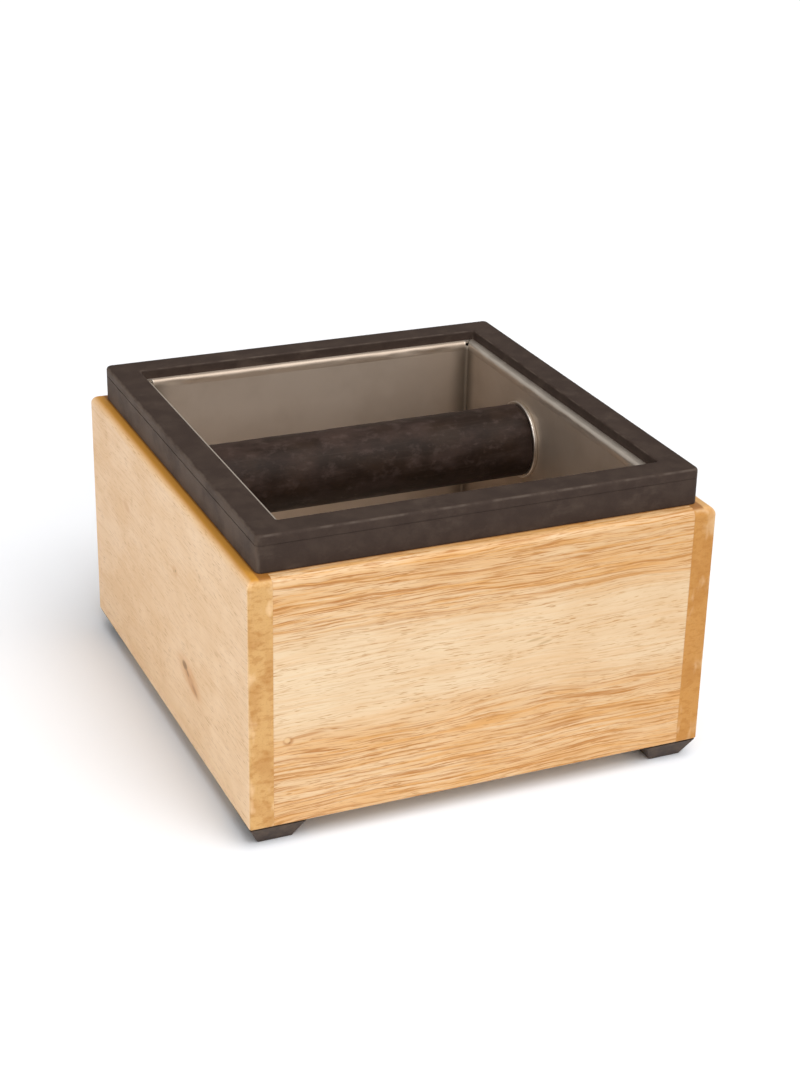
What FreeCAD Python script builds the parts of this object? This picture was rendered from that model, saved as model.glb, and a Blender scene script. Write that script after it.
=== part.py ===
import FreeCAD, Part
import math
import os

# Espresso knock box. A rubberwood box on four feet holds a stainless steel pan by its rubber
# rim, and a rubber-covered knock bar is screwed across the pan.
# Millimetres. The origin is on the floor under the middle of the box, +X is to the right,
# +Y to the back and +Z up.

# Wooden box
BOX_WIDTH = 180.0
BOX_DEPTH = 190.0
BOX_HEIGHT = 96.0
BOARD_THICKNESS = 9.0
CORNER_RADIUS = 1.0
TOP_EDGE_RADIUS = 3.0
BOTTOM_EDGE_RADIUS = 0.8
MOUTH_CHAMFER = 0.8
PANEL_THICKNESS = 4.0
PANEL_GAP = 0.1
REBATE_WIDTH = BOARD_THICKNESS / 2

# Dowels in the corner joints
DOWEL_RADIUS = 2.5
DOWEL_LENGTH = 18.0
DOWEL_IN_SIDE_BOARD = 5.5
DOWEL_CHAMFER = 0.6
DOWELS_PER_CORNER = 3
DOWEL_END_MARGIN = 18.0

# Brads in the bottom panel
BRAD_RADIUS = 0.7
BRAD_HEAD_RADIUS = 1.4
BRAD_HEAD_HEIGHT = 0.6
BRAD_LENGTH = 16.0
BRADS_PER_SIDE = 3
BRAD_END_MARGIN = 30.0

# Feet, which are tapered square bumpers on adhesive pads
FOOT_TOP_WIDTH = 21.0
FOOT_BOTTOM_WIDTH = 13.0
FOOT_HEIGHT = 7.6
FOOT_INSET = 0.4
FOOT_EDGE_RADIUS = 0.8
PAD_WIDTH = 19.4
PAD_THICKNESS = 0.4

# Pan
PAN_WIDTH_INSIDE = 139.7
PAN_DEPTH_INSIDE = 152.4
SHEET = 0.8
PAN_FLOOR_GAP = 1.0
PAN_CORNER_RADIUS = 1.2
PAN_FLOOR_RADIUS = 2.0
FLANGE_WIDTH = 9.0
FLANGE_BEND_RADIUS = 1.2
RELIEF_RADIUS = 0.9
RELIEF_DEPTH = 1.8
MITRE_SLIT = 0.4

# Rubber rim
RIM_INSET = 5.2
RIM_WIDTH = 11.2
RIM_HEIGHT = 14.0
RIM_LIP = 4.0
RIM_CORNER_RADIUS = 2.4
RIM_TOP_RADIUS = 1.4
RIM_BASE_RADIUS = 0.4
RIM_MOUTH_CORNER_RADIUS = 1.0
RIM_MOUTH_TOP_RADIUS = 0.9
PARTING_LINE_DROP = 3.6
PARTING_LINE_WIDTH = 0.4
PARTING_LINE_DEPTH = 0.15
SPIGOT_DEPTH = 4.0
SPIGOT_GAP = 0.6
SPIGOT_CHAMFER = 0.6

# Knock bar
BAR_Y = 23.0
BAR_BELOW_WOOD_TOP = 14.5
SLEEVE_RADIUS = 14.75
SLEEVE_END_RADIUS = 0.8
SLEEVE_BORE_GAP = 0.02
CORE_RADIUS = 6.0
CORE_CHAMFER = 0.5
DISC_RADIUS = 15.75
DISC_THICKNESS = 1.6
DISC_EDGE_RADIUS = 0.4
SCREW_RADIUS = 3.0
SCREW_LENGTH = 16.0
SCREW_HEAD_RADIUS = 5.25
SCREW_HEAD_HEIGHT = 3.3
SCREW_DOME_RADIUS = 2.4
SOCKET_ACROSS_FLATS = 4.0
SOCKET_DEPTH = 2.0
SCREW_HOLE_RADIUS = 3.2
TAPPED_HOLE_DEPTH = 18.0
THREAD_GAP = 0.03
WASHER_OUTER_RADIUS = 5.9
WASHER_THICKNESS = 1.6
WASHER_SPLIT = 0.8

# Places worked out from the sizes above
HALF_WIDTH = BOX_WIDTH / 2
HALF_DEPTH = BOX_DEPTH / 2
INNER_HALF_WIDTH = HALF_WIDTH - BOARD_THICKNESS
INNER_HALF_DEPTH = HALF_DEPTH - BOARD_THICKNESS
WOOD_BOTTOM = FOOT_HEIGHT + PAD_THICKNESS
WOOD_TOP = WOOD_BOTTOM + BOX_HEIGHT
RIM_TOP = WOOD_TOP + RIM_HEIGHT
FLANGE_TOP = RIM_TOP - RIM_LIP
FLANGE_BOTTOM = FLANGE_TOP - SHEET
PAN_BOTTOM = WOOD_BOTTOM + PANEL_THICKNESS + PAN_FLOOR_GAP
BAR_Z = WOOD_TOP - BAR_BELOW_WOOD_TOP
PAN_WALL = PAN_WIDTH_INSIDE / 2
CORE_END = PAN_WALL - DISC_THICKNESS
CORNERS = [(x, y) for y in (-1, 1) for x in (-1, 1)]


def block(width, depth, bottom, top):
    """A block centred on the Z axis, between two heights."""
    corner = FreeCAD.Vector(-width / 2, -depth / 2, bottom)
    return Part.makeBox(width, depth, top - bottom, corner)


def rectangle(width, depth, height):
    """A closed rectangular wire, centred on the Z axis."""
    signs = [(-1, -1), (1, -1), (1, 1), (-1, 1), (-1, -1)]
    points = [FreeCAD.Vector(x * width / 2, y * depth / 2, height) for x, y in signs]
    return Part.makePolygon(points)


def upright(edge):
    """Whether an edge runs straight up."""
    box = edge.BoundBox
    return box.ZLength > 0.1 and box.XLength < 0.01 and box.YLength < 0.01


def round_upright(shape, radius):
    """A shape with its upright edges rounded."""
    return shape.makeFillet(radius, [edge for edge in shape.Edges if upright(edge)])


def round_level(shape, radius, height, reach=2 * BOX_DEPTH):
    """A shape with its edges at one height rounded, as far out along X as reach."""
    boxes = [(edge, edge.BoundBox) for edge in shape.Edges]
    chosen = [edge for edge, box in boxes
              if box.ZLength < 0.01 and abs(box.ZMin - height) < 0.01
              and box.XMin > -reach and box.XMax < reach]
    return shape.makeFillet(radius, chosen)


def rod(radius, start, end, y, z):
    """A round rod along X between two places."""
    base = FreeCAD.Vector(min(start, end), y, z)
    return Part.makeCylinder(radius, abs(end - start), base, FreeCAD.Vector(1, 0, 0))


def end_circles(shape):
    """The circles at the ends of a round solid."""
    return [edge for edge in shape.Edges if edge.isClosed()]


def evenly(count, margin, low, high):
    """Places spread evenly between two ends, a margin in from each."""
    step = (high - low - 2 * margin) / (count - 1)
    return [low + margin + step * index for index in range(count)]


def mirrored(shape):
    """A shape's mirror image across the middle of the box, left for right."""
    return shape.mirror(FreeCAD.Vector(0, 0, 0), FreeCAD.Vector(1, 0, 0))


# Wooden box

def dowel_rods():
    """The space of each dowel: blind in the side board and deeper in the end grain."""
    heights = evenly(DOWELS_PER_CORNER, DOWEL_END_MARGIN, WOOD_BOTTOM, WOOD_TOP)
    outer_end = INNER_HALF_WIDTH + DOWEL_IN_SIDE_BOARD
    inner_end = outer_end - DOWEL_LENGTH
    middle = HALF_DEPTH - BOARD_THICKNESS / 2
    return [rod(DOWEL_RADIUS, x * inner_end, x * outer_end, y * middle, z)
            for x, y in CORNERS for z in heights]


def joint_dowels():
    """Beech dowels glued across the four corner joints."""
    chamfered = [dowel.makeChamfer(DOWEL_CHAMFER, end_circles(dowel)) for dowel in dowel_rods()]
    return Part.makeCompound(chamfered)


def panel_brads():
    """Wire nails up through the bottom panel, their heads flush with its underside."""
    inset = BOARD_THICKNESS - REBATE_WIDTH / 2
    along_x = evenly(BRADS_PER_SIDE, BRAD_END_MARGIN, -HALF_WIDTH, HALF_WIDTH)
    along_y = evenly(BRADS_PER_SIDE, BRAD_END_MARGIN, -HALF_DEPTH, HALF_DEPTH)
    places = [(x, side * (HALF_DEPTH - inset)) for side in (-1, 1) for x in along_x]
    places += [(side * (HALF_WIDTH - inset), y) for side in (-1, 1) for y in along_y]
    brads = []
    for x, y in places:
        base = FreeCAD.Vector(x, y, WOOD_BOTTOM)
        wire = Part.makeCylinder(BRAD_RADIUS, BRAD_LENGTH, base)
        head = Part.makeCone(BRAD_HEAD_RADIUS, BRAD_RADIUS, BRAD_HEAD_HEIGHT, base)
        brads.append(wire.fuse(head).removeSplitter())
    return Part.makeCompound(brads)


def eased_box():
    """The outside of the glued-up box after its edges are sanded round."""
    solid = round_upright(block(BOX_WIDTH, BOX_DEPTH, WOOD_BOTTOM, WOOD_TOP), CORNER_RADIUS)
    solid = round_level(solid, TOP_EDGE_RADIUS, WOOD_TOP)
    return round_level(solid, BOTTOM_EDGE_RADIUS, WOOD_BOTTOM)


def box_hollow():
    """The space inside the boards, with a chamfered mouth and a rebate for the panel."""
    width = 2 * INNER_HALF_WIDTH
    depth = 2 * INNER_HALF_DEPTH
    chamfer = 2 * MOUTH_CHAMFER
    mouth = Part.makeLoft([rectangle(width, depth, WOOD_TOP - MOUTH_CHAMFER),
                           rectangle(width + chamfer, depth + chamfer, WOOD_TOP)], True, True)
    rebate = block(width + 2 * REBATE_WIDTH, depth + 2 * REBATE_WIDTH,
                   WOOD_BOTTOM, WOOD_BOTTOM + PANEL_THICKNESS)
    return block(width, depth, WOOD_BOTTOM, WOOD_TOP).fuse([mouth, rebate])


def wooden_parts():
    """The four boards and the bottom panel. The side boards cover the other boards' ends."""
    brads = panel_brads()
    boards = eased_box().cut(box_hollow()).cut(brads).cut(Part.makeCompound(dowel_rods()))
    parts = {}
    for name, side in (("left_board", -1), ("right_board", 1)):
        slab = block(BOARD_THICKNESS, BOX_DEPTH, WOOD_BOTTOM, WOOD_TOP)
        slab.translate(FreeCAD.Vector(side * (HALF_WIDTH - BOARD_THICKNESS / 2), 0, 0))
        parts[name] = boards.common(slab)
    for name, side in (("front_board", -1), ("back_board", 1)):
        slab = block(2 * INNER_HALF_WIDTH, BOARD_THICKNESS, WOOD_BOTTOM, WOOD_TOP)
        slab.translate(FreeCAD.Vector(0, side * (HALF_DEPTH - BOARD_THICKNESS / 2), 0))
        parts[name] = boards.common(slab)
    reach = 2 * (REBATE_WIDTH - PANEL_GAP)
    panel = block(2 * INNER_HALF_WIDTH + reach, 2 * INNER_HALF_DEPTH + reach,
                  WOOD_BOTTOM, WOOD_BOTTOM + PANEL_THICKNESS)
    parts["bottom_panel"] = panel.cut(brads)
    parts["joint_dowels"] = joint_dowels()
    parts["panel_brads"] = brads
    return parts


def under_corner(shape, x_side, y_side):
    """A shape moved from the middle of the box to the place of one foot."""
    inset = FOOT_INSET + FOOT_TOP_WIDTH / 2
    place = FreeCAD.Vector(x_side * (HALF_WIDTH - inset), y_side * (HALF_DEPTH - inset), 0)
    return shape.translated(place)


def foot(x_side, y_side):
    """A tapered square rubber bumper under one corner of the box."""
    body = Part.makeLoft([rectangle(FOOT_BOTTOM_WIDTH, FOOT_BOTTOM_WIDTH, 0),
                          rectangle(FOOT_TOP_WIDTH, FOOT_TOP_WIDTH, FOOT_HEIGHT)], True, True)
    below_top = [edge for edge in body.Edges if edge.BoundBox.ZMin < 0.01]
    return under_corner(body.makeFillet(FOOT_EDGE_RADIUS, below_top), x_side, y_side)


def foot_adhesive_pads():
    """The four sticky foam pads between the feet and the box."""
    pad = block(PAD_WIDTH, PAD_WIDTH, FOOT_HEIGHT, WOOD_BOTTOM)
    return Part.makeCompound([under_corner(pad, x_side, y_side) for x_side, y_side in CORNERS])


# Pan

def flange_plate():
    """The outline of the pan's turned-out flange, one sheet thick."""
    return block(PAN_WIDTH_INSIDE + 2 * FLANGE_WIDTH, PAN_DEPTH_INSIDE + 2 * FLANGE_WIDTH,
                 FLANGE_BOTTOM, FLANGE_TOP)


def flange_corner_cut(x_side, y_side):
    """The mitre slit and round relief where two flanges meet at a corner."""
    bottom = FLANGE_TOP - RELIEF_DEPTH
    relief = Part.makeCylinder(RELIEF_RADIUS, 2 * RELIEF_DEPTH, FreeCAD.Vector(0, 0, bottom))
    slit = Part.makeBox(2 * FLANGE_WIDTH, MITRE_SLIT, 2 * RELIEF_DEPTH,
                        FreeCAD.Vector(0, -MITRE_SLIT / 2, bottom))
    direction = math.degrees(math.atan2(y_side, x_side))
    slit.rotate(FreeCAD.Vector(0, 0, 0), FreeCAD.Vector(0, 0, 1), direction)
    cut = relief.fuse(slit)
    cut.translate(FreeCAD.Vector(x_side * PAN_WALL, y_side * PAN_DEPTH_INSIDE / 2, 0))
    return cut


def pan():
    """The folded and seam-welded steel pan, with its flange and the holes for the bar."""
    outside = round_upright(block(PAN_WIDTH_INSIDE + 2 * SHEET, PAN_DEPTH_INSIDE + 2 * SHEET,
                                  PAN_BOTTOM, FLANGE_TOP), PAN_CORNER_RADIUS + SHEET)
    outside = round_level(outside, PAN_FLOOR_RADIUS + SHEET, PAN_BOTTOM)
    inside = round_upright(block(PAN_WIDTH_INSIDE, PAN_DEPTH_INSIDE,
                                 PAN_BOTTOM + SHEET, FLANGE_TOP), PAN_CORNER_RADIUS)
    inside = round_level(inside, PAN_FLOOR_RADIUS, PAN_BOTTOM + SHEET)
    shell = outside.fuse(flange_plate()).removeSplitter()
    bend_reach = PAN_WALL + SHEET + FLANGE_BEND_RADIUS
    shell = round_level(shell, FLANGE_BEND_RADIUS - SHEET, FLANGE_BOTTOM, bend_reach)
    shell = round_level(shell.cut(inside), FLANGE_BEND_RADIUS, FLANGE_TOP, bend_reach)
    for x_side, y_side in CORNERS:
        shell = shell.cut(flange_corner_cut(x_side, y_side))
    return shell.cut(rod(SCREW_HOLE_RADIUS, -HALF_WIDTH, HALF_WIDTH, BAR_Y, BAR_Z))


def rubber_rim():
    """The moulded rubber frame that grips the flange and sits on the boards."""
    width = BOX_WIDTH - 2 * RIM_INSET
    depth = BOX_DEPTH - 2 * RIM_INSET
    frame = round_upright(block(width, depth, WOOD_TOP, RIM_TOP), RIM_CORNER_RADIUS)
    frame = round_level(frame, RIM_TOP_RADIUS, RIM_TOP)
    frame = round_level(frame, RIM_BASE_RADIUS, WOOD_TOP)
    line_top = RIM_TOP - PARTING_LINE_DROP
    line_space = block(width + 1, depth + 1, line_top - PARTING_LINE_WIDTH, line_top)
    line_floor = round_upright(block(width - 2 * PARTING_LINE_DEPTH,
                                     depth - 2 * PARTING_LINE_DEPTH,
                                     line_top - PARTING_LINE_WIDTH, line_top),
                               RIM_CORNER_RADIUS - PARTING_LINE_DEPTH)
    frame = frame.cut(line_space.cut(line_floor))
    spigot = block(2 * (INNER_HALF_WIDTH - SPIGOT_GAP), 2 * (INNER_HALF_DEPTH - SPIGOT_GAP),
                   WOOD_TOP - SPIGOT_DEPTH, WOOD_TOP)
    lower = [edge for edge in spigot.Edges if edge.BoundBox.ZMax < WOOD_TOP - 0.5]
    spigot = spigot.makeChamfer(SPIGOT_CHAMFER, lower)
    solid = frame.fuse(spigot).removeSplitter()
    mouth_width = width - 2 * RIM_WIDTH
    mouth = round_upright(block(mouth_width, depth - 2 * RIM_WIDTH,
                                WOOD_TOP - SPIGOT_DEPTH, RIM_TOP), RIM_MOUTH_CORNER_RADIUS)
    solid = solid.cut(mouth)
    solid = round_level(solid, RIM_MOUTH_TOP_RADIUS, RIM_TOP, mouth_width / 2 + 1)
    return solid.cut(flange_plate())


# Knock bar

def bar_core():
    """The steel rod inside the sleeve, tapped at both ends."""
    core = rod(CORE_RADIUS, -CORE_END, CORE_END, BAR_Y, BAR_Z)
    core = core.makeChamfer(CORE_CHAMFER, end_circles(core))
    for side in (-1, 1):
        core = core.cut(rod(SCREW_RADIUS + THREAD_GAP, side * (CORE_END - TAPPED_HOLE_DEPTH),
                            side * CORE_END, BAR_Y, BAR_Z))
    return core


def bar_sleeve():
    """The thick rubber tube that takes the knocks."""
    sleeve = rod(SLEEVE_RADIUS, -CORE_END, CORE_END, BAR_Y, BAR_Z)
    sleeve = sleeve.makeFillet(SLEEVE_END_RADIUS, end_circles(sleeve))
    return sleeve.cut(rod(CORE_RADIUS + SLEEVE_BORE_GAP, -CORE_END, CORE_END, BAR_Y, BAR_Z))


def bar_disc():
    """The steel disc between the sleeve's right-hand end and the pan's wall."""
    disc = rod(DISC_RADIUS, CORE_END, PAN_WALL, BAR_Y, BAR_Z)
    disc = disc.makeFillet(DISC_EDGE_RADIUS, end_circles(disc))
    return disc.cut(rod(SCREW_HOLE_RADIUS, CORE_END, PAN_WALL, BAR_Y, BAR_Z))


def lock_washer():
    """The split washer under the right-hand screw's head."""
    start = PAN_WALL + SHEET
    end = start + WASHER_THICKNESS
    ring = rod(WASHER_OUTER_RADIUS, start, end, BAR_Y, BAR_Z)
    ring = ring.cut(rod(SCREW_HOLE_RADIUS, start, end, BAR_Y, BAR_Z))
    split = Part.makeBox(WASHER_THICKNESS, WASHER_SPLIT, 2 * WASHER_OUTER_RADIUS,
                         FreeCAD.Vector(start, BAR_Y - WASHER_SPLIT / 2, BAR_Z))
    return ring.cut(split)


def bar_screw():
    """The right-hand button-head screw, from outside the pan into the core."""
    head_start = PAN_WALL + SHEET + WASHER_THICKNESS
    head_end = head_start + SCREW_HEAD_HEIGHT
    head = rod(SCREW_HEAD_RADIUS, head_start, head_end, BAR_Y, BAR_Z)
    outer_circle = [edge for edge in end_circles(head) if edge.BoundBox.XMin > head_end - 0.1]
    head = head.makeFillet(SCREW_DOME_RADIUS, outer_circle)
    corner_distance = SOCKET_ACROSS_FLATS / math.sqrt(3)
    angles = [math.radians(60 * index) for index in range(7)]
    outline = [FreeCAD.Vector(head_end - SOCKET_DEPTH, BAR_Y + corner_distance * math.cos(angle),
                              BAR_Z + corner_distance * math.sin(angle)) for angle in angles]
    socket = Part.Face(Part.makePolygon(outline)).extrude(FreeCAD.Vector(SOCKET_DEPTH, 0, 0))
    shank = rod(SCREW_RADIUS, head_start - SCREW_LENGTH, head_start, BAR_Y, BAR_Z)
    return head.cut(socket).fuse(shank).removeSplitter()


def left_and_right(shape):
    """A part on the right with its mirror image on the left."""
    return Part.makeCompound([mirrored(shape), shape])


parts = wooden_parts()
for x_side, y_side in CORNERS:
    across = "left" if x_side < 0 else "right"
    along = "front" if y_side < 0 else "back"
    parts[f"foot_{along}_{across}"] = foot(x_side, y_side)
parts["foot_adhesive_pads"] = foot_adhesive_pads()
parts["pan"] = pan()
parts["rubber_rim"] = rubber_rim()
parts["bar_core"] = bar_core()
parts["bar_sleeve"] = bar_sleeve()
parts["bar_disc_left"] = mirrored(bar_disc())
parts["bar_disc_right"] = bar_disc()
parts["bar_lock_washers"] = left_and_right(lock_washer())
parts["bar_screws"] = left_and_right(bar_screw())

os.makedirs("parts", exist_ok=True)
for name, shape in parts.items():
    shape.exportStep(f"parts/{name}.step")
    print(name, len(shape.Solids), round(shape.Volume, 1), shape.isValid())
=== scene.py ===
import math

import bmesh
import bpy
from mathutils import Matrix, Vector, noise


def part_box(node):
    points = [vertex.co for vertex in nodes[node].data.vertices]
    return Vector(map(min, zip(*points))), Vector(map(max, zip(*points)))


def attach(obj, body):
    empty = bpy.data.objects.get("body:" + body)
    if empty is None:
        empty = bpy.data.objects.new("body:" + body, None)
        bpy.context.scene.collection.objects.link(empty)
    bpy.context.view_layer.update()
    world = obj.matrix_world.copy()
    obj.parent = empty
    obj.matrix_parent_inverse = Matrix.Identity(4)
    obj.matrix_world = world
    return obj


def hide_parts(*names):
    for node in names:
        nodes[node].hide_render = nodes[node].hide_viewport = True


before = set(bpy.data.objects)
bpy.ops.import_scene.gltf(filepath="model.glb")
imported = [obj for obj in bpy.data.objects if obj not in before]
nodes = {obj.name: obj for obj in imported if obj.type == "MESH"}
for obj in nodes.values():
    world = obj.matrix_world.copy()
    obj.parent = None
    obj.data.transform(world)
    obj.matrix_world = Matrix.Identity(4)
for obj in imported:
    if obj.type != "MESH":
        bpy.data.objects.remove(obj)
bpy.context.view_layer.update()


# Boards of the box. Four rubberwood boards, planed to 9 mm, are glued and dowelled at the
# corners, sanded round along the edges and sprayed with thin satin lacquer. The grain runs
# level round the box, so the side boards' end grain shows as a strip at each front corner.

def linear(hex_colour):
    """An sRGB hex colour as the linear RGBA that shaders take."""
    parts = [int(hex_colour[start:start + 2], 16) / 255 for start in (1, 3, 5)]
    return [part / 12.92 if part <= 0.04045 else ((part + 0.055) / 1.055) ** 2.4
            for part in parts] + [1.0]


def add_node(owner, kind, inputs, output=0, **settings):
    """Adds a node, fills its inputs with values or links, and returns one of its outputs.

    An input goes by its name, or by its place among those in use. A map range takes its value,
    the range it comes from and the range it is given as inputs 0 to 4.
    """
    node = owner.node_tree.nodes.new("ShaderNode" + kind)
    for name, value in settings.items():
        setattr(node, name, value)
    in_use = [socket for socket in node.inputs if socket.enabled]
    for key, value in inputs.items():
        socket = in_use[key] if isinstance(key, int) else node.inputs[key]
        if isinstance(value, bpy.types.NodeSocket):
            owner.node_tree.links.new(value, socket)
        else:
            socket.default_value = value
    return [socket for socket in node.outputs if socket.enabled][output]


# Places of a texture coordinate node's outputs
NORMAL, OBJECT = 1, 3


def start_material(name, **constants):
    """A material whose surface has the given plain values, and its place in millimetres."""
    material = bpy.data.materials.new(name)
    material.use_nodes = True
    surface = material.node_tree.nodes["Principled BSDF"]
    for key, value in constants.items():
        surface.inputs[key.replace("_", " ")].default_value = value
    place = add_node(material, "TexCoord", {}, output=OBJECT)
    in_mm = add_node(material, "VectorMath", {0: place, 1: (1000, 1000, 1000)},
                     operation="MULTIPLY")
    return material, in_mm


def link_surface(material, **links):
    """Links outputs to the surface's inputs."""
    surface = material.node_tree.nodes["Principled BSDF"]
    for key, output in links.items():
        material.node_tree.links.new(output, surface.inputs[key.replace("_", " ")])


def give(material, *names):
    """Puts a material on carried-over nodes, in place of their plain one."""
    for name in names:
        nodes[name].data.materials.clear()
        nodes[name].data.materials.append(material)


def patches_of(material, place, size, low, high, detail=2.0, roughness=0.55):
    """A mask from noise whose features are of the given size in mm, rising from low to high."""
    scaled = add_node(material, "VectorMath", {0: place, 1: size}, operation="DIVIDE")
    value = add_node(material, "TexNoise", {"Vector": scaled, "Scale": 1.0, "Detail": detail,
                                            "Roughness": roughness})
    return add_node(material, "MapRange", {0: value, 1: low, 2: high},
                    interpolation_type="SMOOTHSTEP")


def stain(material, colour, mask, strength, stain_colour):
    """A colour with another mixed in where a mask lies."""
    share = add_node(material, "Math", {0: mask, 1: strength}, operation="MULTIPLY")
    return add_node(material, "Mix", {0: share, 1: colour, 2: linear(stain_colour)},
                    data_type="RGBA")


# Sizes in millimetres of the box, from its middle and from the counter
BOX_HALF_WIDTH, BOX_HALF_DEPTH = 90.0, 95.0
BOARD_THICKNESS = 9.0
BOARD_TOP = 104.0
RIM_INSET = 5.2

# Sizes in millimetres of the figure: along the grain, up the board and into it
SWAY = (80.0, 26.0, 26.0)
RIPPLE = (16.0, 5.0, 5.0)
GROWTH_BAND = (85.0, 5.0, 5.0)
TAN_STREAK = (36.0, 1.3, 1.3)
BROWN_LINE = (20.0, 0.6, 0.6)
PALE_STREAK = (32.0, 1.1, 1.1)
LONG_LINE = (70.0, 1.4, 1.4)
HAIR_LINE = (15.0, 0.42, 0.42)
PORE_DASH = (5.6, 0.36, 0.36)
PORE_CROWD = (34.0, 7.0, 7.0)
CLOUD = (24.0, 13.0, 13.0)
END_BLOTCH = (9.0, 13.0, 9.0)
END_SWIRL = (7.0, 1.8, 3.5)
END_FLECK = (0.7, 0.7, 0.7)
END_LIGHT = (6.0, 17.0, 8.0)

# How far in millimetres the sway and the ripple lift a line, and how far apart in the log one
# board lies from the next, so that no two share a figure
SWAY_REACH, RIPPLE_REACH = 8.0, 1.3
SWAY_STEP = (311.0, 173.0, 97.0)
GRAIN_STEP = (211.0, 131.0, 57.0)

# Where in millimetres the tan wood fades out and in past its height, the sanded edge's colour
# fades in from the face and down from the top, and the painted shade fades off the rim and the
# top
TAN_BELOW_FADE, TAN_ABOVE_FADE = (8.0, -6.0), (-7.0, 5.0)
EDGE_IN, EDGE_DOWN = (0.2, 2.7), (4.5, 2.5)
SHADE_OFF_RIM, SHADE_DOWN = (0.9, 0.1), (0.8, 0.2)
GLUE_LINE = 0.4
CLOUDS_FROM, CLOUDS_TO = -60.0, 75.0

PALE_FIGURE = 0.22
PORE_BROWN = "#a36c28"
AMBER_LACQUER = "#b98238"
EDGE_LACQUER = "#c58828"
END_BROWN = "#a56a20"
END_FLECK_BROWN = "#8e5c28"
SHADE_AND_GLUE_BROWN = "#8a5522"
PORE_DEPTH = 0.00004
THROUGH_BOARD = 10000.0


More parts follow.
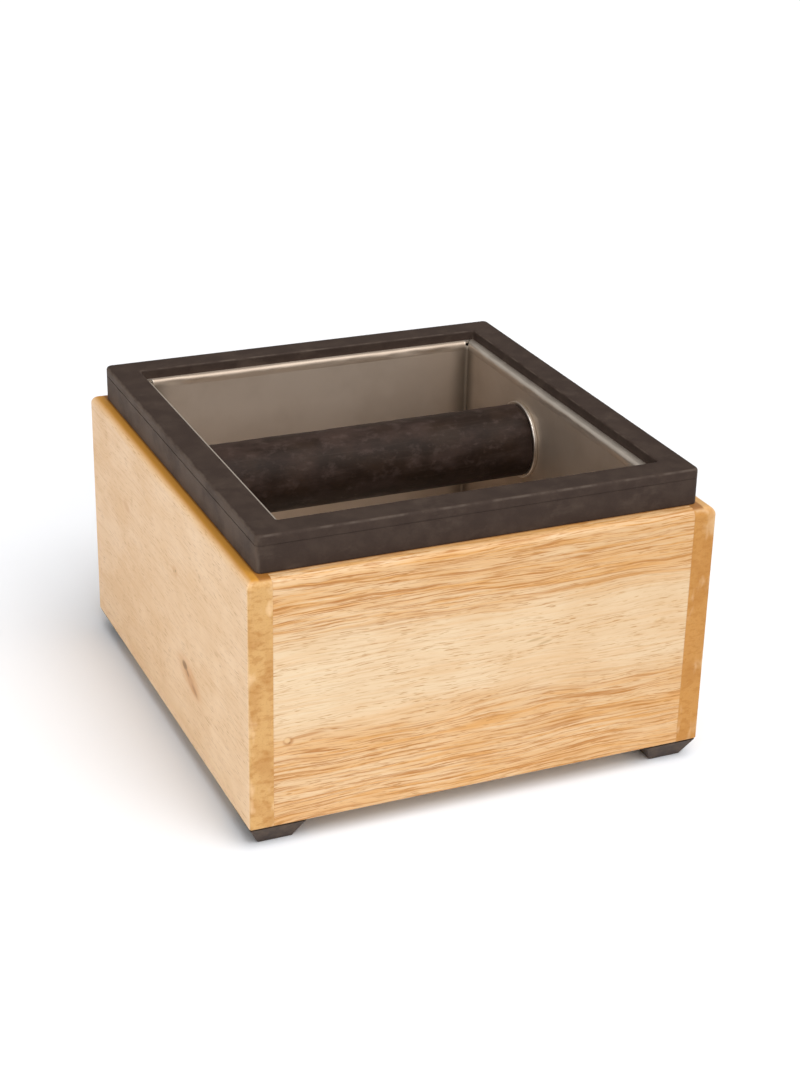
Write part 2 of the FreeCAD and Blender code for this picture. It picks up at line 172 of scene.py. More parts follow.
def rubberwood(name, grain_axis, seed, pale, tan, line, end, tan_below, tan_above, figure,
               edge_tint, marks):
    """Lacquered rubberwood: straw with tan growth bands, brown lines and fine pore dashes."""
    wood, in_mm = start_material(name, IOR=1.5, Specular_IOR_Level=0.35, Coat_Weight=0.06,
                                 Coat_Roughness=0.35)
    normal = add_node(wood, "TexCoord", {}, output=NORMAL)
    x = add_node(wood, "SeparateXYZ", {0: in_mm}, output=0)
    y = add_node(wood, "SeparateXYZ", {0: in_mm}, output=1)
    height = add_node(wood, "SeparateXYZ", {0: in_mm}, output=2)
    along, depth = (x, y) if grain_axis == "X" else (y, x)
    end_axis, face_half = (0, BOX_HALF_DEPTH) if grain_axis == "X" else (1, BOX_HALF_WIDTH)
    flat = add_node(wood, "CombineXYZ", {0: along, 1: height, 2: depth})

    # A slow sway and a quick ripple lift and lower the lines
    sway_shift = tuple(seed * step for step in SWAY_STEP)
    seeded = add_node(wood, "VectorMath", {0: flat, 1: sway_shift}, operation="ADD")
    moved = height
    for size, reach in ((SWAY, SWAY_REACH), (RIPPLE, RIPPLE_REACH)):
        scaled = add_node(wood, "VectorMath", {0: seeded, 1: size}, operation="DIVIDE")
        wave = add_node(wood, "TexNoise", {"Vector": scaled, "Scale": 1.0, "Detail": 2.0})
        shift = add_node(wood, "Math", {0: wave, 1: 0.5}, operation="SUBTRACT")
        moved = add_node(wood, "Math", {0: shift, 1: reach, 2: moved},
                         operation="MULTIPLY_ADD")
    grain_shift = tuple(seed * step for step in GRAIN_STEP)
    grain = add_node(wood, "CombineXYZ", {0: along, 1: moved, 2: depth})
    grain = add_node(wood, "VectorMath", {0: grain, 1: grain_shift}, operation="ADD")

    # Tan wood lies below and above the pale middle, in bands
    below = add_node(wood, "MapRange", {0: moved, 1: tan_below + TAN_BELOW_FADE[0],
                                        2: tan_below + TAN_BELOW_FADE[1]},
                     interpolation_type="SMOOTHSTEP")
    above = add_node(wood, "MapRange", {0: moved, 1: tan_above + TAN_ABOVE_FADE[0],
                                        2: tan_above + TAN_ABOVE_FADE[1]},
                     interpolation_type="SMOOTHSTEP")
    zone = add_node(wood, "Math", {0: below, 1: above}, operation="MAXIMUM")
    strength = add_node(wood, "MapRange", {0: zone, 3: PALE_FIGURE * figure, 4: figure})
    tint = add_node(wood, "Math", {0: zone, 1: 0.3}, operation="MULTIPLY")
    colour = add_node(wood, "Mix", {0: tint, 1: linear(pale), 2: linear(tan)},
                      data_type="RGBA")
    for size, low, high, share, shade in (
            (GROWTH_BAND, 0.4, 0.68, 0.55, tan), (TAN_STREAK, 0.46, 0.64, 0.8, tan),
            (PALE_STREAK, 0.56, 0.72, 0.6, pale), (LONG_LINE, 0.55, 0.68, 0.75, line),
            (BROWN_LINE, 0.52, 0.66, 0.95, line), (HAIR_LINE, 0.56, 0.7, 0.7, line)):
        mask = patches_of(wood, grain, size, low, high, detail=3.0, roughness=0.6)
        share = add_node(wood, "Math", {0: strength, 1: share}, operation="MULTIPLY")
        colour = stain(wood, colour, mask, share, shade)

    # Open pores, 0.1 mm wide, hold a little dust under the lacquer. They are drawn nearly
    # 0.4 mm wide, so that they show
    pore = patches_of(wood, grain, PORE_DASH, 0.6, 0.7, detail=1.0)
    crowd = patches_of(wood, grain, PORE_CROWD, 0.22, 0.55)
    pore = add_node(wood, "Math", {0: pore, 1: crowd}, operation="MULTIPLY")
    colour = stain(wood, colour, pore, 0.7 * figure ** 2, PORE_BROWN)

    # Amber clouds, where the lacquer soaked in deeper, and more of them toward one end
    cloud = patches_of(wood, seeded, CLOUD, 0.3, 0.7, detail=3.0)
    toward_end = add_node(wood, "MapRange", {0: along, 1: CLOUDS_FROM, 2: CLOUDS_TO, 3: 0.0,
                                             4: 1.2})
    soaked = add_node(wood, "Math", {0: cloud, 1: toward_end}, operation="ADD")
    colour = stain(wood, colour, soaked, 0.15, AMBER_LACQUER)

    # Pin knots and specks, each an ellipse on the board's face with a soft edge
    for mark_along, mark_height, half_length, half_height, turn, shade, share in marks:
        local = add_node(wood, "Mapping",
                         {"Vector": flat, "Location": (mark_along, mark_height, 0.0),
                          "Rotation": (0.0, 0.0, math.radians(turn)),
                          "Scale": (half_length, half_height, THROUGH_BOARD)},
                         vector_type="TEXTURE")
        distance = add_node(wood, "VectorMath", {0: local}, operation="LENGTH")
        mark = add_node(wood, "MapRange", {0: distance, 1: 1.25, 2: 0.55},
                        interpolation_type="SMOOTHSTEP")
        colour = stain(wood, colour, mark, share, shade)

    # The sanded top edge drinks more lacquer and turns deeper
    inward = add_node(wood, "Math", {0: depth}, operation="ABSOLUTE")
    edge = add_node(wood, "MapRange", {0: inward, 1: face_half - EDGE_IN[0],
                                       2: face_half - EDGE_IN[1]},
                    interpolation_type="SMOOTHSTEP")
    upper = add_node(wood, "MapRange", {0: height, 1: BOARD_TOP - EDGE_DOWN[0],
                                        2: BOARD_TOP - EDGE_DOWN[1]})
    edge = add_node(wood, "Math", {0: edge, 1: upper}, operation="MULTIPLY")
    colour = stain(wood, colour, edge, edge_tint, EDGE_LACQUER)

    # So does the end grain, unevenly, and it shows the log's swirls and open vessels
    facing = add_node(wood, "SeparateXYZ", {0: normal}, output=end_axis)
    facing = add_node(wood, "Math", {0: facing}, operation="ABSOLUTE")
    end_grain = add_node(wood, "MapRange", {0: facing, 1: 0.35, 2: 0.85},
                         interpolation_type="SMOOTHSTEP")
    colour = stain(wood, colour, end_grain, 1.0, end)
    for size, low, high, share, shade in (
            (END_BLOTCH, 0.42, 0.64, 0.42, END_BROWN), (END_SWIRL, 0.48, 0.64, 0.4, END_BROWN),
            (END_FLECK, 0.5, 0.75, 0.25, END_FLECK_BROWN), (END_LIGHT, 0.52, 0.7, 0.5, pale)):
        blotch = patches_of(wood, seeded, size, low, high, detail=3.0)
        blotch = add_node(wood, "Math", {0: blotch, 1: end_grain}, operation="MULTIPLY")
        colour = stain(wood, colour, blotch, share, shade)

    # A brown line of painted shade lies along the top against the rubber rim, and the glue line
    # at each corner is brown too
    top = add_node(wood, "MapRange", {0: height, 1: BOARD_TOP - SHADE_DOWN[0],
                                      2: BOARD_TOP - SHADE_DOWN[1]})
    rim_at = face_half - RIM_INSET
    near_rim = add_node(wood, "MapRange", {0: inward, 1: rim_at + SHADE_OFF_RIM[0],
                                           2: rim_at + SHADE_OFF_RIM[1]},
                        interpolation_type="SMOOTHSTEP")
    rim_shade_and_glue = add_node(wood, "Math", {0: top, 1: near_rim}, operation="MULTIPLY")
    if grain_axis == "X":
        seam = BOX_HALF_WIDTH - BOARD_THICKNESS
        across = add_node(wood, "Math", {0: along}, operation="ABSOLUTE")
        glue = add_node(wood, "MapRange", {0: across, 1: seam - GLUE_LINE, 2: seam, 4: 0.2})
        rim_shade_and_glue = add_node(wood, "Math", {0: rim_shade_and_glue, 1: glue}, operation="MAXIMUM")
    colour = stain(wood, colour, rim_shade_and_glue, 0.8, SHADE_AND_GLUE_BROWN)

    # Pores sink a little under the lacquer, which is duller where it soaked in
    bump = add_node(wood, "Bump", {"Height": pore, "Strength": 0.4, "Distance": PORE_DEPTH},
                    invert=True)
    roughness = add_node(wood, "MapRange", {0: cloud, 3: 0.42, 4: 0.56})
    link_surface(wood, Base_Color=colour, Roughness=roughness, Normal=bump)
    return wood


# Each mark is its place along the board and its height, its half length and half height, its
# turn in degrees, its colour and how strong it is
front_wood = rubberwood(
    "rubberwood_front_board_lacquered", "X", 1.0, pale="#ddc6a4", tan="#d09a58",
    line="#aa7034", end="#c89d63", tan_below=40.0, tan_above=82.0, figure=1.0, edge_tint=0.0,
    marks=[(-69.5, 42.4, 7.0, 0.7, 4.0, "#b5814a", 0.7),
           (-75.6, 41.2, 2.0, 1.7, 0.0, "#a8733e", 0.75),
           (-76.0, 41.7, 1.2, 1.1, 0.0, "#dcb888", 0.85),
           (-75.2, 40.6, 0.5, 0.3, 30.0, "#7d5427", 0.6),
           (69.6, 62.0, 2.6, 1.0, 12.0, "#b78c56", 0.4),
           (69.0, 62.4, 1.2, 0.5, 12.0, "#dcbd93", 0.6),
           (19.0, 63.4, 4.0, 0.5, 6.0, "#a37d48", 0.5),
           (22.5, 61.6, 3.0, 0.5, 10.0, "#a37d48", 0.45)])
give(front_wood, "front_board")
back_wood = rubberwood(
    "rubberwood_back_board_lacquered", "X", 2.3, pale="#dec5a0", tan="#cd9857",
    line="#a06c34", end="#ca9d64", tan_below=30.0, tan_above=92.0, figure=0.9, edge_tint=0.15,
    marks=[(38.0, 55.0, 9.0, 1.0, -3.0, "#b5814a", 0.5)])
give(back_wood, "back_board")
left_wood = rubberwood(
    "rubberwood_left_board_lacquered", "Y", 3.7, pale="#eecca3", tan="#dfb27a",
    line="#c08c50", end="#c89c60", tan_below=-20.0, tan_above=130.0, figure=0.85,
    edge_tint=0.95,
    marks=[(-29.0, 36.4, 14.0, 5.6, 14.0, "#d0985c", 0.5),
           (-31.0, 35.0, 9.0, 2.6, 20.0, "#b97a3e", 0.5),
           (-24.0, 38.8, 3.0, 1.7, 0.0, "#7a5426", 0.75),
           (-27.4, 37.0, 1.8, 0.8, 30.0, "#8c6433", 0.7),
           (-35.0, 33.6, 3.6, 1.0, 20.0, "#9a6c3a", 0.5),
           (-14.8, 73.3, 3.4, 2.0, 0.0, "#cf9c66", 0.5),
           (-15.3, 73.6, 0.7, 0.6, 0.0, "#94703e", 0.6),
           (-13.4, 72.6, 0.6, 0.5, 0.0, "#94703e", 0.4),
           (47.0, 74.0, 5.0, 2.0, 10.0, "#c9955f", 0.4)])
give(left_wood, "left_board")
right_wood = rubberwood(
    "rubberwood_right_board_lacquered", "Y", 5.1, pale="#e3c59d", tan="#d3a263",
    line="#b07c3f", end="#ba843f", tan_below=30.0, tan_above=130.0, figure=0.7,
    edge_tint=0.6, marks=[(30.0, 70.0, 7.0, 0.9, 5.0, "#b07b45", 0.45)])
give(right_wood, "right_board")


# Bottom panel. 4 mm plywood, let into a rebate under the boards and sanded flush. Its faces
# are rotary-cut veneer, glued in three plies that show along the edge.

PLY_THICKNESS = 4.0 / 3
PLY_GLUE_LINE = 0.2
VENEER_FIGURE = (70.0, 9.0, 9.0)
VENEER_LINE = (9.0, 0.5, 0.5)
VENEER_PORE = (6.0, 0.4, 0.4)
VENEER_FUZZ = (5.0, 5.0, 5.0)
VENEER_PORE_DEPTH = 0.00006

# Rotary cutting gives long loose figure, and sanding leaves it dry and matt. Its pores, 0.1 mm
# wide, are drawn at 0.4 mm
ply, ply_mm = start_material("plywood_sanded", IOR=1.5, Specular_IOR_Level=0.3)
veneer_figure = patches_of(ply, ply_mm, VENEER_FIGURE, 0.4, 0.65, detail=3.0)
veneer = add_node(ply, "Mix", {0: veneer_figure, 1: linear("#dcbf92"), 2: linear("#c79f6c")},
                  data_type="RGBA")
veneer_line = patches_of(ply, ply_mm, VENEER_LINE, 0.6, 0.72)
veneer = stain(ply, veneer, veneer_line, 0.5, "#9c7443")
ply_height = add_node(ply, "SeparateXYZ", {0: ply_mm}, output=2)
ply_layer = add_node(ply, "Math", {0: ply_height, 1: PLY_THICKNESS}, operation="PINGPONG")
ply_glue = add_node(ply, "MapRange", {0: ply_layer, 1: PLY_GLUE_LINE, 2: 0.0})
veneer = stain(ply, veneer, ply_glue, 0.25, "#8a6236")
veneer_fuzz = patches_of(ply, ply_mm, VENEER_FUZZ, 0.3, 0.7)
ply_rough = add_node(ply, "MapRange", {0: veneer_fuzz, 3: 0.6, 4: 0.72})
veneer_pore = patches_of(ply, ply_mm, VENEER_PORE, 0.4, 0.7)
ply_bump = add_node(ply, "Bump", {"Height": veneer_pore, "Strength": 0.3,
                                  "Distance": VENEER_PORE_DEPTH}, invert=True)
link_surface(ply, Base_Color=veneer, Roughness=ply_rough, Normal=ply_bump)
give(ply, "bottom_panel")


# Dowels. Twelve beech dowels, cut from fluted rod, hold the glued corner joints. They are
# hidden in the boards once the box is together.

BEECH_TONE = (6.0, 6.0, 6.0)
BEECH_FLECK = (0.4, 2.2, 0.4)
BEECH_POLISH = (3.0, 3.0, 3.0)

# Turned beech is pinkish tan and dry, with short dark ray flecks across each dowel
beech, beech_mm = start_material("beech_dowel_turned", IOR=1.5, Specular_IOR_Level=0.3)
beech_tone = patches_of(beech, beech_mm, BEECH_TONE, 0.35, 0.65)
beech_colour = add_node(beech, "Mix", {0: beech_tone, 1: linear("#d9b48a"),
                                       2: linear("#c99d70")}, data_type="RGBA")
beech_fleck = patches_of(beech, beech_mm, BEECH_FLECK, 0.6, 0.72)
beech_colour = stain(beech, beech_colour, beech_fleck, 0.55, "#8f6238")
beech_polish = patches_of(beech, beech_mm, BEECH_POLISH, 0.3, 0.7)
beech_rough = add_node(beech, "MapRange", {0: beech_polish, 3: 0.55, 4: 0.68})
link_surface(beech, Base_Color=beech_colour, Roughness=beech_rough)
give(beech, "joint_dowels")


# Brads. Twelve drawn-wire nails are driven up through the panel's edge into the boards, and
# set flush with the panel.

FILM_DULLING = 0.09
LINE_DULLING = 0.03


def bare_steel(name, base, film, film_mm, line_mm, roughness, line_depth_mm=0.002):
    """Steel with a thin dull film in patches and the fine lines of its making."""
    steel, place = start_material(name, Metallic=1.0)
    filmed = patches_of(steel, place, (film_mm, film_mm, film_mm), 0.35, 0.72, detail=4.0,
                        roughness=0.6)
    lines = patches_of(steel, place, line_mm, 0.3, 0.7, detail=2.0)
    colour = add_node(steel, "Mix", {0: filmed, 1: linear(base), 2: linear(film)},
                      data_type="RGBA")
    rough = add_node(steel, "MapRange", {0: filmed, 3: roughness,
                                         4: roughness + FILM_DULLING})
    lined = add_node(steel, "MapRange", {0: lines, 3: -LINE_DULLING, 4: LINE_DULLING})
    rough = add_node(steel, "Math", {0: rough, 1: lined}, operation="ADD")
    bump = add_node(steel, "Bump", {"Height": lines, "Strength": 0.4,
                                    "Distance": line_depth_mm / 1000})
    link_surface(steel, Base_Color=colour, Roughness=rough, Normal=bump)
    return steel


# Drawing leaves the wire bright, with lines along it that blur its highlight. The lines are
# 0.02 mm apart, and drawn 0.2 mm apart
nail_wire = bare_steel("wire_nail_steel_drawn", "#a8a6a2", "#84817c", film_mm=1.5,
                       line_mm=(0.2, 0.2, 3.0), roughness=0.34)
give(nail_wire, "panel_brads")


# Feet. Four tapered square bumpers, moulded in brown-black rubber, carry the box. Each is
# stuck under a corner by a pad of double-sided foam tape.

BLOOM_DULLING = 0.1


def moulded_rubber(name, base, bloom, bloom_mm, roughness, skin_mm, skin_depth_mm,
                   **constants):
    """Rubber, brown-black, with paler bloom in patches and a fine spark-eroded skin."""
    material, place = start_material(name, IOR=1.52, **constants)
    bloomed = patches_of(material, place, (bloom_mm, bloom_mm, bloom_mm), 0.38, 0.72,
                         detail=4.0, roughness=0.6)
    colour = add_node(material, "Mix", {0: bloomed, 1: linear(base), 2: linear(bloom)},
                      data_type="RGBA")
    skin = patches_of(material, place, (skin_mm, skin_mm, skin_mm), 0.3, 0.7, detail=2.0)
    bump = add_node(material, "Bump", {"Height": skin, "Strength": 0.6,
                                       "Distance": skin_depth_mm / 1000})
    rough = add_node(material, "MapRange", {0: bloomed, 3: roughness,
                                            4: roughness + BLOOM_DULLING})
    link_surface(material, Base_Color=colour, Roughness=rough, Normal=bump)
    return material, place, colour


# The mould's eroded skin keeps the rubber matt, and dust greys it. The skin's grain is 0.1 mm,
# and drawn at 0.5 mm
bumper, _, _ = moulded_rubber("rubber_bumper_moulded", "#3c3029", "#54463b", bloom_mm=4.0,
                              roughness=0.62, skin_mm=0.5, skin_depth_mm=0.03,
                              Specular_IOR_Level=0.3)
give(bumper, "foot_front_left", "foot_front_right", "foot_back_left", "foot_back_right")

# Cutting opens the foam's cells, which swallow the light. They are 0.2 mm, and drawn at 0.6 mm
foam, _, _ = moulded_rubber("foam_tape_cut", "#2e2d2c", "#3a3937", bloom_mm=1.2,
                            roughness=0.85, skin_mm=0.6, skin_depth_mm=0.12,
                            Specular_IOR_Level=0.2)
give(foam, "foot_adhesive_pads")


# Pan. Stainless sheet, 0.8 mm, is brushed to a fine satin, folded into a box with a flange
# round its mouth, and seam-welded at the corners. It hangs in the box by the rim, and lifts
# out to be emptied.

# Sizes in millimetres of the pan and of its marks, from its middle and from the counter
PAN_WALL_X, PAN_WALL_Y = 69.85, 76.2
CORNER_SHADE_SPREAD, WELD_BEAD = 9.0, 0.6
CORNER_SHADE_TOP = (112.8, 111.6)
FLANGE_BEND = (110.5, 112.5)
SIDE_FLANGE = (68.4, 69.4)
SHEET_FILM = (30.0, 30.0, 30.0)
SATIN_SKIN = (0.6, 0.6, 0.6)
SATIN_DEPTH = 0.00002
FLANGE_DENT = (15.0, 15.0, 6.0)
DENT_DEPTH = 0.0012
WALL_ROUGH, FRONT_FLANGE_ROUGH, SIDE_FLANGE_ROUGH = 0.57, 0.68, 0.47

# Brushing that fine spreads the light evenly over each wall, with no mirror in it. It is
# 0.02 mm, and drawn as a skin of 0.6 mm
sheet, sheet_mm = start_material("stainless_sheet_satin", Metallic=1.0)
filmed = patches_of(sheet, sheet_mm, SHEET_FILM, 0.35, 0.72, detail=4.0, roughness=0.6)
sheet_colour = add_node(sheet, "Mix", {0: filmed, 1: linear("#cfc0b1"),
                                       2: linear("#c5b5a5")}, data_type="RGBA")
away_x = add_node(sheet, "SeparateXYZ", {0: sheet_mm}, output=0)
away_x = add_node(sheet, "Math", {0: away_x}, operation="ABSOLUTE")
away_y = add_node(sheet, "SeparateXYZ", {0: sheet_mm}, output=1)
away_y = add_node(sheet, "Math", {0: away_y}, operation="ABSOLUTE")
sheet_height = add_node(sheet, "SeparateXYZ", {0: sheet_mm}, output=2)

# Painted shade darkens the corners to a duller brown-grey, 9 mm to each side, over the heat
# tint of the welds
near_x = add_node(sheet, "MapRange", {0: away_x, 1: PAN_WALL_X - CORNER_SHADE_SPREAD,
                                      2: PAN_WALL_X - WELD_BEAD},
                  interpolation_type="SMOOTHSTEP")
near_y = add_node(sheet, "MapRange", {0: away_y, 1: PAN_WALL_Y - CORNER_SHADE_SPREAD,
                                      2: PAN_WALL_Y - WELD_BEAD},
                  interpolation_type="SMOOTHSTEP")
below_flange = add_node(sheet, "MapRange", {0: sheet_height, 1: CORNER_SHADE_TOP[0], 2: CORNER_SHADE_TOP[1]})
corner_shade_and_weld = add_node(sheet, "Math", {0: near_x, 1: near_y}, operation="MULTIPLY")
corner_shade_and_weld = add_node(sheet, "Math", {0: corner_shade_and_weld, 1: below_flange}, operation="MULTIPLY")
sheet_colour = stain(sheet, sheet_colour, corner_shade_and_weld, 0.62, "#64584a")

# The two side flanges are painted paler, a painted highlight, and lifting the pan by its sides
# has polished them smoother
on_flange = add_node(sheet, "MapRange", {0: sheet_height, 1: FLANGE_BEND[0],
                                         2: FLANGE_BEND[1]})
at_side = add_node(sheet, "MapRange", {0: away_x, 1: SIDE_FLANGE[0], 2: SIDE_FLANGE[1]})
side_flange_highlight = add_node(sheet, "Math", {0: on_flange, 1: at_side}, operation="MULTIPLY")
sheet_colour = stain(sheet, sheet_colour, side_flange_highlight, 0.9, "#eee4d8")
flange_rough = add_node(sheet, "MapRange", {0: at_side, 3: FRONT_FLANGE_ROUGH,
                                            4: SIDE_FLANGE_ROUGH})
sheet_rough = add_node(sheet, "Mix", {0: on_flange, 1: WALL_ROUGH, 2: flange_rough})

# The folded flange isn't dead straight, and its highlight wanders
dents = patches_of(sheet, sheet_mm, FLANGE_DENT, 0.2, 0.8, detail=1.0)
dents = add_node(sheet, "Math", {0: dents, 1: on_flange}, operation="MULTIPLY")
wavy = add_node(sheet, "Bump", {"Height": dents, "Strength": 0.5, "Distance": DENT_DEPTH})
satin = patches_of(sheet, sheet_mm, SATIN_SKIN, 0.3, 0.7)
satin_bump = add_node(sheet, "Bump", {"Height": satin, "Strength": 0.3,
                                      "Distance": SATIN_DEPTH, "Normal": wavy})
link_surface(sheet, Base_Color=sheet_colour, Roughness=sheet_rough, Normal=satin_bump)
give(sheet, "pan")


# Rim. A frame moulded in one piece of brown-black nitrile rubber, stretched over the pan's
# flange. The pan hangs by it on the boards, and it keeps a portafilter from chipping them.

WORN_HIGHLIT_PATCH = (7.0, 7.0, 7.0)
RIM_SMEAR = (14.0, 14.0, 8.0)
SIDE_LIGHT_PATCH = (13.0, 13.0, 9.0)
RIM_SIDE = (80.0, 82.0)

# Moulding leaves the nitrile matt and even. The skin's grain is 0.1 mm, and drawn at 0.45 mm
rim, rim_mm, rim_colour = moulded_rubber("nitrile_rim_moulded", "#362a24", "#40342d",
                                         bloom_mm=9.0, roughness=0.66, skin_mm=0.45,
                                         skin_depth_mm=0.03, Specular_IOR_Level=0.15)

# An edge is where no axis faces squarely, and there the rim is paler in places: wear, with a
# painted highlight
rim_normal = add_node(rim, "TexCoord", {}, output=NORMAL)
steepest = 0.0
for axis in range(3):
    slope = add_node(rim, "SeparateXYZ", {0: rim_normal}, output=axis)
    slope = add_node(rim, "Math", {0: slope}, operation="ABSOLUTE")
    steepest = add_node(rim, "Math", {0: slope, 1: steepest}, operation="MAXIMUM")
worn_highlit_edge = add_node(rim, "MapRange", {0: steepest, 1: 0.97, 2: 0.78},
                     interpolation_type="SMOOTHSTEP")
broken = patches_of(rim, rim_mm, WORN_HIGHLIT_PATCH, 0.35, 0.65, detail=3.0)
worn_highlit_edge = add_node(rim, "Math", {0: worn_highlit_edge, 1: broken}, operation="MULTIPLY")
rim_colour = stain(rim, rim_colour, worn_highlit_edge, 0.35, "#6d6157")
smear = patches_of(rim, rim_mm, RIM_SMEAR, 0.52, 0.74, detail=4.0, roughness=0.65)
rim_colour = stain(rim, rim_colour, smear, 0.25, "#5c4f45")

# Painted light: the rim's left and right outer sides are painted paler, in patches
side_facing = add_node(rim, "SeparateXYZ", {0: rim_normal}, output=0)
side_facing = add_node(rim, "Math", {0: side_facing}, operation="ABSOLUTE")
side_facing = add_node(rim, "MapRange", {0: side_facing, 1: 0.6, 2: 0.9})
outward = add_node(rim, "SeparateXYZ", {0: rim_mm}, output=0)
outward = add_node(rim, "Math", {0: outward}, operation="ABSOLUTE")
outward = add_node(rim, "MapRange", {0: outward, 1: RIM_SIDE[0], 2: RIM_SIDE[1]})
painted_side_light = add_node(rim, "Math", {0: side_facing, 1: outward}, operation="MULTIPLY")
side_light_patches = patches_of(rim, rim_mm, SIDE_LIGHT_PATCH, 0.25, 0.62, detail=4.0)
side_light_patches = add_node(rim, "MapRange", {0: side_light_patches, 3: 0.35, 4: 1.0})
painted_side_light = add_node(rim, "Math", {0: painted_side_light, 1: side_light_patches}, operation="MULTIPLY")
rim_colour = stain(rim, rim_colour, painted_side_light, 0.75, "#5f5045")
link_surface(rim, Base_Color=rim_colour)
give(rim, "rubber_rim")


# Knock bar. A turned steel rod carries a thick rubber tube, with a polished disc against the
# pan at each end. A screw with a split washer holds each end from outside the pan.

# Turning leaves rings round the rod, 0.1 mm apart, which are drawn 0.5 mm apart
bar_rod = bare_steel("bar_rod_turned", "#a9a7a4", "#8d8a86", film_mm=3.0,
                     line_mm=(0.5, 6.0, 6.0), roughness=0.32)
give(bar_rod, "bar_core")

# Polishing leaves the discs the brightest metal here, with hardly a line on them
bar_disc = bare_steel("stainless_disc_polished", "#ece4da", "#d8cec2", film_mm=4.0,
                      line_mm=(6.0, 3.0, 3.0), roughness=0.3, line_depth_mm=0.0002)
give(bar_disc, "bar_disc_left", "bar_disc_right")

# Cold heading leaves the screws smooth, and greyer than the discs
bar_screw = bare_steel("stainless_screw_headed", "#b9b6b1", "#98948e", film_mm=2.0,
                       line_mm=(0.4, 4.0, 4.0), roughness=0.3)
give(bar_screw, "bar_screws")

# Spring steel is blackened in oil as it is tempered, which leaves it dark with a dull sheen
lock_washer = bare_steel("spring_steel_washer_blackened", "#8a8884", "#6a6763", film_mm=1.5,
                         line_mm=(0.5, 2.0, 2.0), roughness=0.38)
give(lock_washer, "bar_lock_washers")

# The sleeve is extruded, ground round and cut off, then dented by knocks along its top. Its
# sizes are in metres, as its mesh is
SLEEVE_LOW, SLEEVE_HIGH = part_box("bar_sleeve")
SLEEVE_Y = (SLEEVE_LOW.y + SLEEVE_HIGH.y) / 2
SLEEVE_Z = (SLEEVE_LOW.z + SLEEVE_HIGH.z) / 2
SLEEVE_SHY = 0.00003
SLEEVE_RADIUS = (SLEEVE_HIGH.z - SLEEVE_LOW.z) / 2 - SLEEVE_SHY
SLEEVE_BORE = 0.00602
SLEEVE_EDGE = 0.0008
RINGS, SIDES, EDGE_RINGS = 240, 160, 5
WAVE_DEPTH, KNOCK_DEPTH = 0.00012, 0.00022
# Waves and knocks to the metre along the sleeve, and to its radius around it
WAVES_ALONG, WAVES_AROUND = 60, 1.1
KNOCKS_ALONG, KNOCKS_AROUND, KNOCKS_SHIFT = 190, 2.6, 7
# Each pit is its place along the sleeve, its angle round it, its size and its depth
PITS = [(-0.047, 1.25, 0.0010, 0.0005), (0.022, 1.75, 0.0013, 0.0002),
        (-0.012, 1.0, 0.0018, 0.00018), (0.041, 1.4, 0.0016, 0.00015)]


def sleeve_radius(x, angle):
    """The ground radius, less a slow waviness, flats from knocks and a few pits."""
    across, up = math.cos(angle), math.sin(angle)
    wave = noise.noise(Vector((x * WAVES_ALONG, across * WAVES_AROUND, up * WAVES_AROUND)))
    wave = wave * 0.5 + 0.5
    knocks = noise.noise(Vector((x * KNOCKS_ALONG, across * KNOCKS_AROUND,
                                 up * KNOCKS_AROUND + KNOCKS_SHIFT)))
    upward = max(0.0, up) ** 2
    radius = SLEEVE_RADIUS - WAVE_DEPTH * wave - KNOCK_DEPTH * upward * max(0.0, knocks)
    for pit_x, pit_angle, size, depth in PITS:
        distance = math.hypot(x - pit_x, (angle - pit_angle) * SLEEVE_RADIUS)
        radius -= depth * math.exp(-(distance / size) ** 2 * 2)
    return radius


# Each station is its place along the sleeve and how far it lies inside the ground surface.
# The bore opens at both ends, and the cut edges are rounded off
stations = [(SLEEVE_LOW.x, "bore")]
for step in range(EDGE_RINGS + 1):
    turn = step / EDGE_RINGS * math.pi / 2
    stations.append((SLEEVE_LOW.x + SLEEVE_EDGE * (1 - math.cos(turn)),
                     SLEEVE_EDGE * (1 - math.sin(turn))))
span = SLEEVE_HIGH.x - SLEEVE_LOW.x - 2 * SLEEVE_EDGE
for step in range(1, RINGS):
    stations.append((SLEEVE_LOW.x + SLEEVE_EDGE + span * step / RINGS, 0.0))
for step in range(EDGE_RINGS + 1):
    turn = (EDGE_RINGS - step) / EDGE_RINGS * math.pi / 2
    stations.append((SLEEVE_HIGH.x - SLEEVE_EDGE * (1 - math.cos(turn)),
                     SLEEVE_EDGE * (1 - math.sin(turn))))
stations.append((SLEEVE_HIGH.x, "bore"))

sleeve_shape = bmesh.new()
loops = []
for x, inset in stations:
    loop = []
    for side in range(SIDES):
        angle = side / SIDES * 2 * math.pi - math.pi / 2
        radius = SLEEVE_BORE if inset == "bore" else sleeve_radius(x, angle) - inset
        loop.append(sleeve_shape.verts.new((x, SLEEVE_Y - radius * math.cos(angle),
                                            SLEEVE_Z + radius * math.sin(angle))))
    loops.append(loop)
for first, second in zip(loops, loops[1:] + loops[:1]):
    for side in range(SIDES):
        after = (side + 1) % SIDES
        sleeve_shape.faces.new((first[side], first[after], second[after], second[side]))
bmesh.ops.recalc_face_normals(sleeve_shape, faces=sleeve_shape.faces)
for face in sleeve_shape.faces:
    face.smooth = True
sleeve_mesh = bpy.data.meshes.new("bar_sleeve_ground")
sleeve_shape.to_mesh(sleeve_mesh)
sleeve_shape.free()
sleeve = bpy.data.objects.new("bar_sleeve_ground", sleeve_mesh)
bpy.context.scene.collection.objects.link(sleeve)

# Sizes in millimetres of what shows on the sleeve
SLEEVE_BLOOM = (12.0, 12.0, 12.0)
SHEEN_PATCH = (18.0, 9.0, 9.0)
SHEEN_FLECK = (5.0, 3.5, 3.5)
DRAW_LINE = (22.0, 0.9, 0.9)
GROUND_SKIN = (0.6, 0.6, 0.6)
GROUND_SKIN_DEPTH = 0.00004
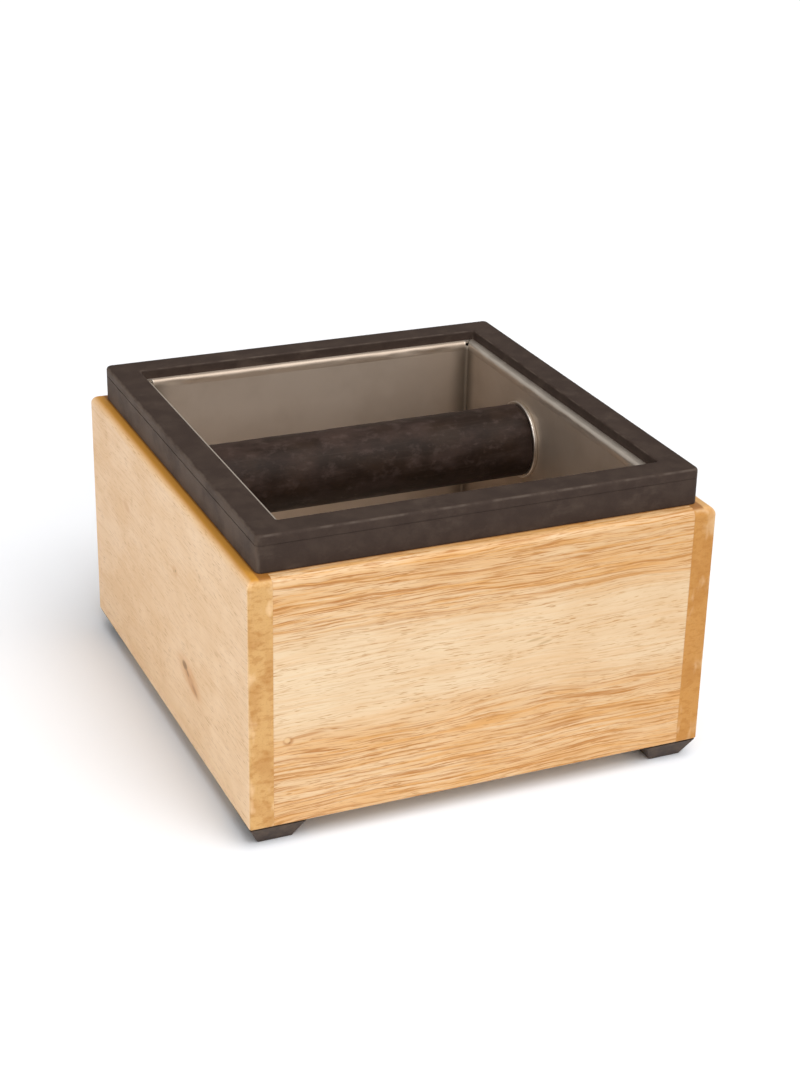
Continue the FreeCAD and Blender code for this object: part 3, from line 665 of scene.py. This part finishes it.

# Grinding leaves the rubber near black and dull. The wheel's grain is 0.2 mm, and drawn at
# 0.6 mm. Paler patches and flecks on it are painted sheen, and the die left faint lines along
# it
ground_rubber, sleeve_mm = start_material("rubber_sleeve_ground", IOR=1.52,
                                          Specular_IOR_Level=0.08)
sleeve_bloom = patches_of(ground_rubber, sleeve_mm, SLEEVE_BLOOM, 0.38, 0.72, detail=4.0,
                          roughness=0.6)
sleeve_colour = add_node(ground_rubber, "Mix", {0: sleeve_bloom, 1: linear("#261b15"),
                                                2: linear("#31241c")}, data_type="RGBA")
sheen_patches = patches_of(ground_rubber, sleeve_mm, SHEEN_PATCH, 0.4, 0.68, detail=4.0,
                    roughness=0.6)
sleeve_colour = stain(ground_rubber, sleeve_colour, sheen_patches, 0.4, "#4c3d38")
sheen_flecks = patches_of(ground_rubber, sleeve_mm, SHEEN_FLECK, 0.5, 0.72, detail=4.0, roughness=0.65)
sleeve_colour = stain(ground_rubber, sleeve_colour, sheen_flecks, 0.3, "#5a4b46")
draw_lines = patches_of(ground_rubber, sleeve_mm, DRAW_LINE, 0.52, 0.74, detail=3.0)
sleeve_colour = stain(ground_rubber, sleeve_colour, draw_lines, 0.2, "#453a34")
sleeve_rough = add_node(ground_rubber, "MapRange", {0: sheen_patches, 3: 0.42, 4: 0.6})
ground_skin = patches_of(ground_rubber, sleeve_mm, GROUND_SKIN, 0.3, 0.7)
sleeve_bump = add_node(ground_rubber, "Bump", {"Height": ground_skin, "Strength": 0.6,
                                               "Distance": GROUND_SKIN_DEPTH})
link_surface(ground_rubber, Base_Color=sleeve_colour, Roughness=sleeve_rough,
             Normal=sleeve_bump)
sleeve_mesh.materials.append(ground_rubber)
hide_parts("bar_sleeve")
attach(sleeve, "pan_insert")


# Studio. A sheet of matt white paper lies under the box, and the surroundings are even and
# white. There is a wide soft light overhead, a second in front and a third low on the left.

FLOOR_HALF = 6.0
floor_mesh = bpy.data.meshes.new("paper_floor")
floor_mesh.from_pydata([(-FLOOR_HALF, -FLOOR_HALF, 0), (FLOOR_HALF, -FLOOR_HALF, 0),
                        (FLOOR_HALF, FLOOR_HALF, 0), (-FLOOR_HALF, FLOOR_HALF, 0)],
                       [], [(0, 1, 2, 3)])
# Uncoated paper is matt, and its brightener makes the white very slightly blue
paper, _ = start_material("paper_white_matt", Roughness=0.9, Specular_IOR_Level=0.1,
                          Base_Color=linear("#f0f2f6"))
floor_mesh.materials.append(paper)
floor = bpy.data.objects.new("paper_floor", floor_mesh)
bpy.context.scene.collection.objects.link(floor)

# Each light is its name, its azimuth, height and spread in degrees, and its strength
LIGHTS = [("overhead", 20.0, 68.0, 50.0, 2.1), ("front", 12.0, 32.0, 50.0, 0.9),
          ("left", -78.0, 9.0, 22.0, 0.72)]
for name, azimuth, elevation, spread, strength in LIGHTS:
    light = bpy.data.lights.new(name, "SUN")
    light.angle = math.radians(spread)
    light.energy = strength
    lamp = bpy.data.objects.new(name, light)
    turn, lift = math.radians(azimuth), math.radians(elevation)
    toward = Vector((math.sin(turn) * math.cos(lift), -math.cos(turn) * math.cos(lift),
                     math.sin(lift)))
    lamp.rotation_euler = toward.to_track_quat("Z", "Y").to_euler()
    bpy.context.scene.collection.objects.link(lamp)

# The surroundings shine a little more from the front, and look plain white themselves
GLOW_BEHIND, GLOW_IN_FRONT = 0.3, 0.56
world = bpy.data.worlds.new("studio")
bpy.context.scene.world = world
world.use_nodes = True
surroundings = world.node_tree.nodes["Background"]
surroundings.inputs["Color"].default_value = linear("#fffcf8")
direction = add_node(world, "TexCoord", {})
toward_front = add_node(world, "VectorMath", {0: direction, 1: (0, -1, 0)},
                        operation="DOT_PRODUCT")
glow = add_node(world, "MapRange", {0: toward_front, 1: -1.0, 2: 1.0, 3: GLOW_BEHIND,
                                    4: GLOW_IN_FRONT})
world.node_tree.links.new(glow, surroundings.inputs["Strength"])
backdrop = add_node(world, "Background", {"Color": linear("#ffffff"), "Strength": 1.0})
seen_directly = add_node(world, "LightPath", {})
both = add_node(world, "MixShader", {0: seen_directly, 1: surroundings.outputs[0],
                                     2: backdrop})
world.node_tree.links.new(both, world.node_tree.nodes["World Output"].inputs["Surface"])

CAMERA_AZIMUTH = math.radians(-23.38)
CAMERA_ELEVATION = math.radians(28.40)
CAMERA_ROLL = math.radians(1.27)
CAMERA_DISTANCE = 0.8412
AIM_RIGHT, AIM_HEIGHT = 0.0063, 0.0629
FILM_WIDTH, LENS = 36.0, 68.43
camera_data = bpy.data.cameras.new("camera")
camera_data.sensor_width = FILM_WIDTH
camera_data.lens = LENS
camera = bpy.data.objects.new("camera", camera_data)
camera.location = CAMERA_DISTANCE * Vector((
    math.sin(CAMERA_AZIMUTH) * math.cos(CAMERA_ELEVATION),
    -math.cos(CAMERA_AZIMUTH) * math.cos(CAMERA_ELEVATION), math.sin(CAMERA_ELEVATION)))
aim = Vector((AIM_RIGHT * math.cos(CAMERA_AZIMUTH), AIM_RIGHT * math.sin(CAMERA_AZIMUTH),
              AIM_HEIGHT))
upright = (aim - camera.location).to_track_quat("-Z", "Y").to_matrix()
camera.rotation_euler = (upright @ Matrix.Rotation(CAMERA_ROLL, 3, "Z")).to_euler()
bpy.context.scene.collection.objects.link(camera)
bpy.context.scene.camera = camera
bpy.context.scene.view_settings.view_transform = "Standard"
